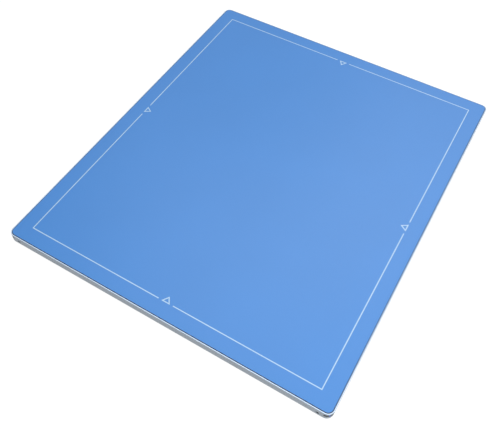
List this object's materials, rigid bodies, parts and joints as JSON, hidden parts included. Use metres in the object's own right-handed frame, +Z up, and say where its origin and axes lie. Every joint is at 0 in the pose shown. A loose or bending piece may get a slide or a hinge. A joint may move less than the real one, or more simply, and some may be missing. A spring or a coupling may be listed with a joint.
{
  "type": "digital x-ray detector",
  "caption": "Flat wireless x-ray detector panel in a cassette-size metal frame, with a blue front face, a battery in its rear and a button and port on one side.",
  "frame": {"origin": "middle of the rear face, on the surface that the panel lies on", "axes": "+X along the short side, towards the long side with the button and port; +Y along the long side, towards the end with the radio windows; +Z up, out of the front face"},
  "size_m": [0.384, 0.46, 0.015],
  "materials": {
    "blue_film": "satin",
    "carbon_plate": "satin",
    "bare_aluminium": "satin",
    "dark_polymer": "matte",
    "blue_lens": "gloss",
    "cover_paint": "matte",
    "battery_plastic": "matte",
    "steel": "satin",
    "dark_steel": "satin",
    "seal_rubber": "matte",
    "grey_foam": "matte",
    "scintillator_white": "matte",
    "sensor_glass": "polished",
    "lead_grey": "matte",
    "cast_metal": "satin",
    "circuit_green": "satin",
    "film_cable": "satin",
    "gold": "gloss",
    "clear_guide": "gloss",
    "button_grey": "satin",
    "cell_silver": "satin"
  },
  "bodies": {
    "housing": {"front_film": "blue_film", "front_plate": "carbon_plate", "front_seal": "seal_rubber", "frame": "bare_aluminium", "corner_guard_1": "dark_polymer", "corner_guard_2": "dark_polymer", "corner_guard_3": "dark_polymer", "corner_guard_4": "dark_polymer", "status_lens": "blue_lens", "foam_sheet": "grey_foam", "scintillator_plate": "scintillator_white", "sensor_glass": "sensor_glass", "shield_sheet": "lead_grey", "base_plate": "cast_metal", "readout_board": "circuit_green", "gate_board": "circuit_green", "main_board": "circuit_green", "power_board": "circuit_green", "shield_can": "steel", "wifi_module": "steel", "readout_flex": "film_cable", "gate_flex": "film_cable", "rear_cover": "cover_paint", "rear_gasket": "seal_rubber", "rear_screw_1": "steel", "rear_screw_2": "steel", "rear_screw_3": "steel", "rear_screw_4": "steel", "rear_screw_5": "steel", "rear_screw_6": "steel", "rear_screw_7": "steel", "rear_screw_8": "steel", "side_screw_1": "dark_steel", "side_screw_2": "dark_steel", "side_screw_3": "dark_steel", "side_screw_4": "dark_steel", "button_seal": "seal_rubber", "button_switch": "dark_polymer", "side_board": "circuit_green", "light_guide": "clear_guide", "tether_socket": "dark_polymer", "tether_ring": "steel", "tether_contacts": "gold", "antenna_window_left": "dark_polymer", "antenna_left": "circuit_green", "latch_spring_left": "steel", "latch_keeper_left": "steel", "antenna_window_right": "dark_polymer", "antenna_right": "circuit_green", "latch_spring_right": "steel", "latch_keeper_right": "steel", "battery_socket": "dark_polymer"},
    "button": {"power_button": "button_grey"},
    "battery_pack": {"battery_case": "battery_plastic", "battery_lid": "battery_plastic", "cell_left": "cell_silver", "cell_right": "cell_silver", "battery_board": "circuit_green"},
    "left_latch": {"latch_left": "battery_plastic"},
    "right_latch": {"latch_right": "battery_plastic"}
  },
  "joints": [
    {"name": "button_press", "type": "slide", "parent": "housing", "child": "button", "axis": [-1, 0, 0], "range_m": [0, 0.0005], "stiffness_N_per_m": 600, "springref_m": -0.0008},
    {"name": "battery_slide", "type": "slide", "parent": "housing", "child": "battery_pack", "axis": [0, 0, -1], "range_m": [0, 0.03]},
    {"name": "left_latch_slide", "type": "slide", "parent": "housing", "child": "left_latch", "axis": [0, 1, 0], "range_m": [0, 0.004], "stiffness_N_per_m": 200, "springref_m": -0.003, "deforming": ["latch_spring_left"]},
    {"name": "right_latch_slide", "type": "slide", "parent": "housing", "child": "right_latch", "axis": [0, 1, 0], "range_m": [0, 0.004], "stiffness_N_per_m": 200, "springref_m": -0.003, "deforming": ["latch_spring_right"]}
  ]
}
